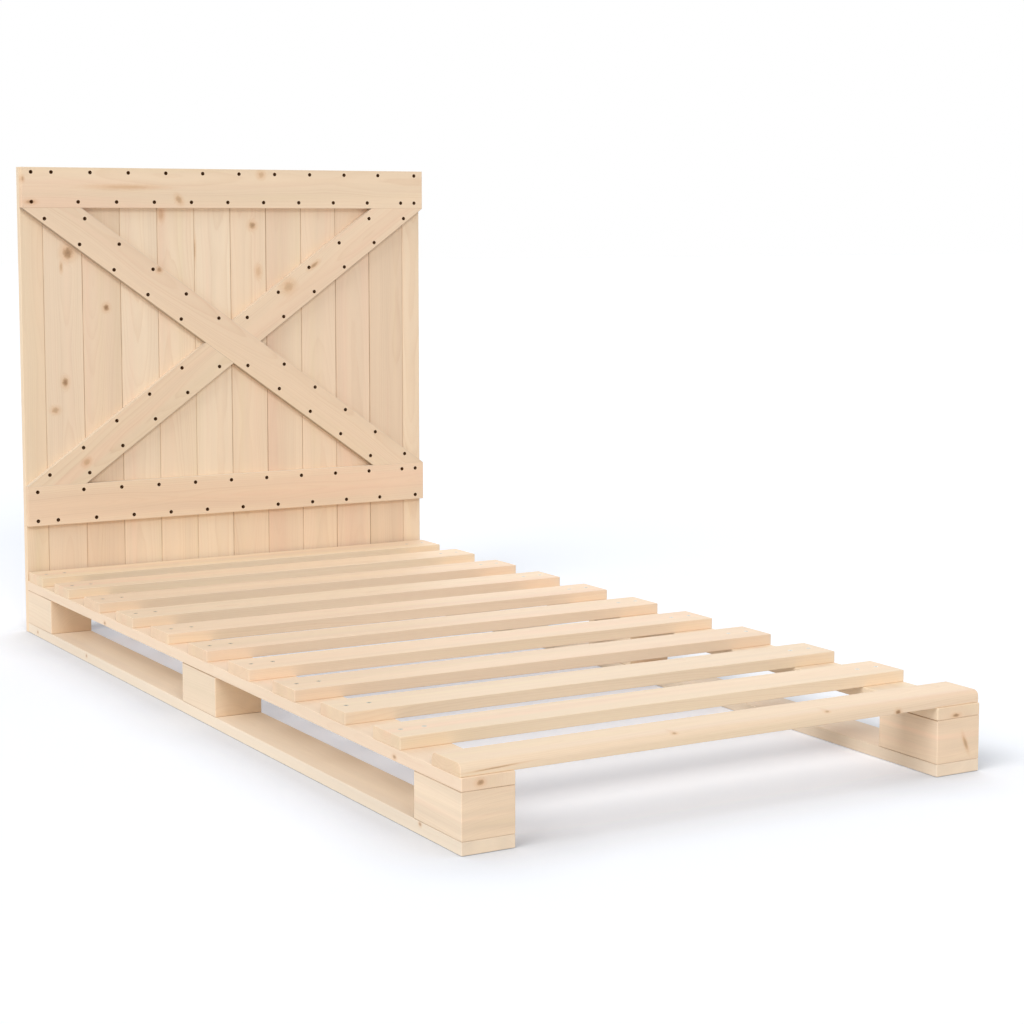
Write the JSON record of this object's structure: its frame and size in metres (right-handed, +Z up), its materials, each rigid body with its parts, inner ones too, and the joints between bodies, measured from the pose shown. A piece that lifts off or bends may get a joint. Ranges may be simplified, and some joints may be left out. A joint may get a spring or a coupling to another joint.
{
  "type": "bed frame",
  "caption": "Rustic pine bed frame: slatted deck on two pallet-style skids, with a plank headboard faced by level boards and a crossed brace.",
  "frame": {"origin": "on the floor, at the middle of the bed's width and of its whole length (bottom centre of the bounding box)", "axes": "+X to the right seen from the foot, +Y from the foot towards the headboard along the bed, +Z up"},
  "size_m": [1, 2.042, 1.044],
  "materials": {
    "pine_plank": "untreated planed pine, matt",
    "pine_front_board": "untreated planed pine, matt",
    "pine_frame": "untreated planed pine, matt",
    "beech_dowel": "plain beech",
    "black_screw": "black phosphate, satin",
    "zinc_screw": "zinc plated",
    "zinc_bolt": "zinc plated",
    "insert_metal": "plain"
  },
  "bodies": {
    "root": {"bolt_washers": "zinc_bolt", "bottom_board_screws": "black_screw", "brace_screws": "black_screw", "foot_board": "pine_frame", "foot_board_dowels": "beech_dowel", "headboard_bolts": "zinc_bolt", "headboard_bottom_board": "pine_front_board", "headboard_plank_01": "pine_plank", "headboard_plank_02": "pine_plank", "headboard_plank_03": "pine_plank", "headboard_plank_04": "pine_plank", "headboard_plank_05": "pine_plank", "headboard_plank_06": "pine_plank", "headboard_plank_07": "pine_plank", "headboard_plank_08": "pine_plank", "headboard_plank_09": "pine_plank", "headboard_plank_10": "pine_plank", "headboard_plank_11": "pine_plank", "headboard_plank_12": "pine_plank", "headboard_top_board": "pine_front_board", "left_foot_block": "pine_frame", "left_head_block": "pine_frame", "left_middle_block": "pine_frame", "left_rail": "pine_frame", "left_runner": "pine_frame", "long_brace": "pine_front_board", "lower_half_brace": "pine_front_board", "rail_screws": "zinc_screw", "right_foot_block": "pine_frame", "right_head_block": "pine_frame", "right_middle_block": "pine_frame", "right_rail": "pine_frame", "right_runner": "pine_frame", "runner_screws": "zinc_screw", "slat_01": "pine_frame", "slat_02": "pine_frame", "slat_03": "pine_frame", "slat_04": "pine_frame", "slat_05": "pine_frame", "slat_06": "pine_frame", "slat_07": "pine_frame", "slat_08": "pine_frame", "slat_09": "pine_frame", "slat_10": "pine_frame", "slat_screws": "zinc_screw", "threaded_inserts": "insert_metal", "top_board_screws": "black_screw", "upper_half_brace": "pine_front_board"}
  },
  "joints": []
}
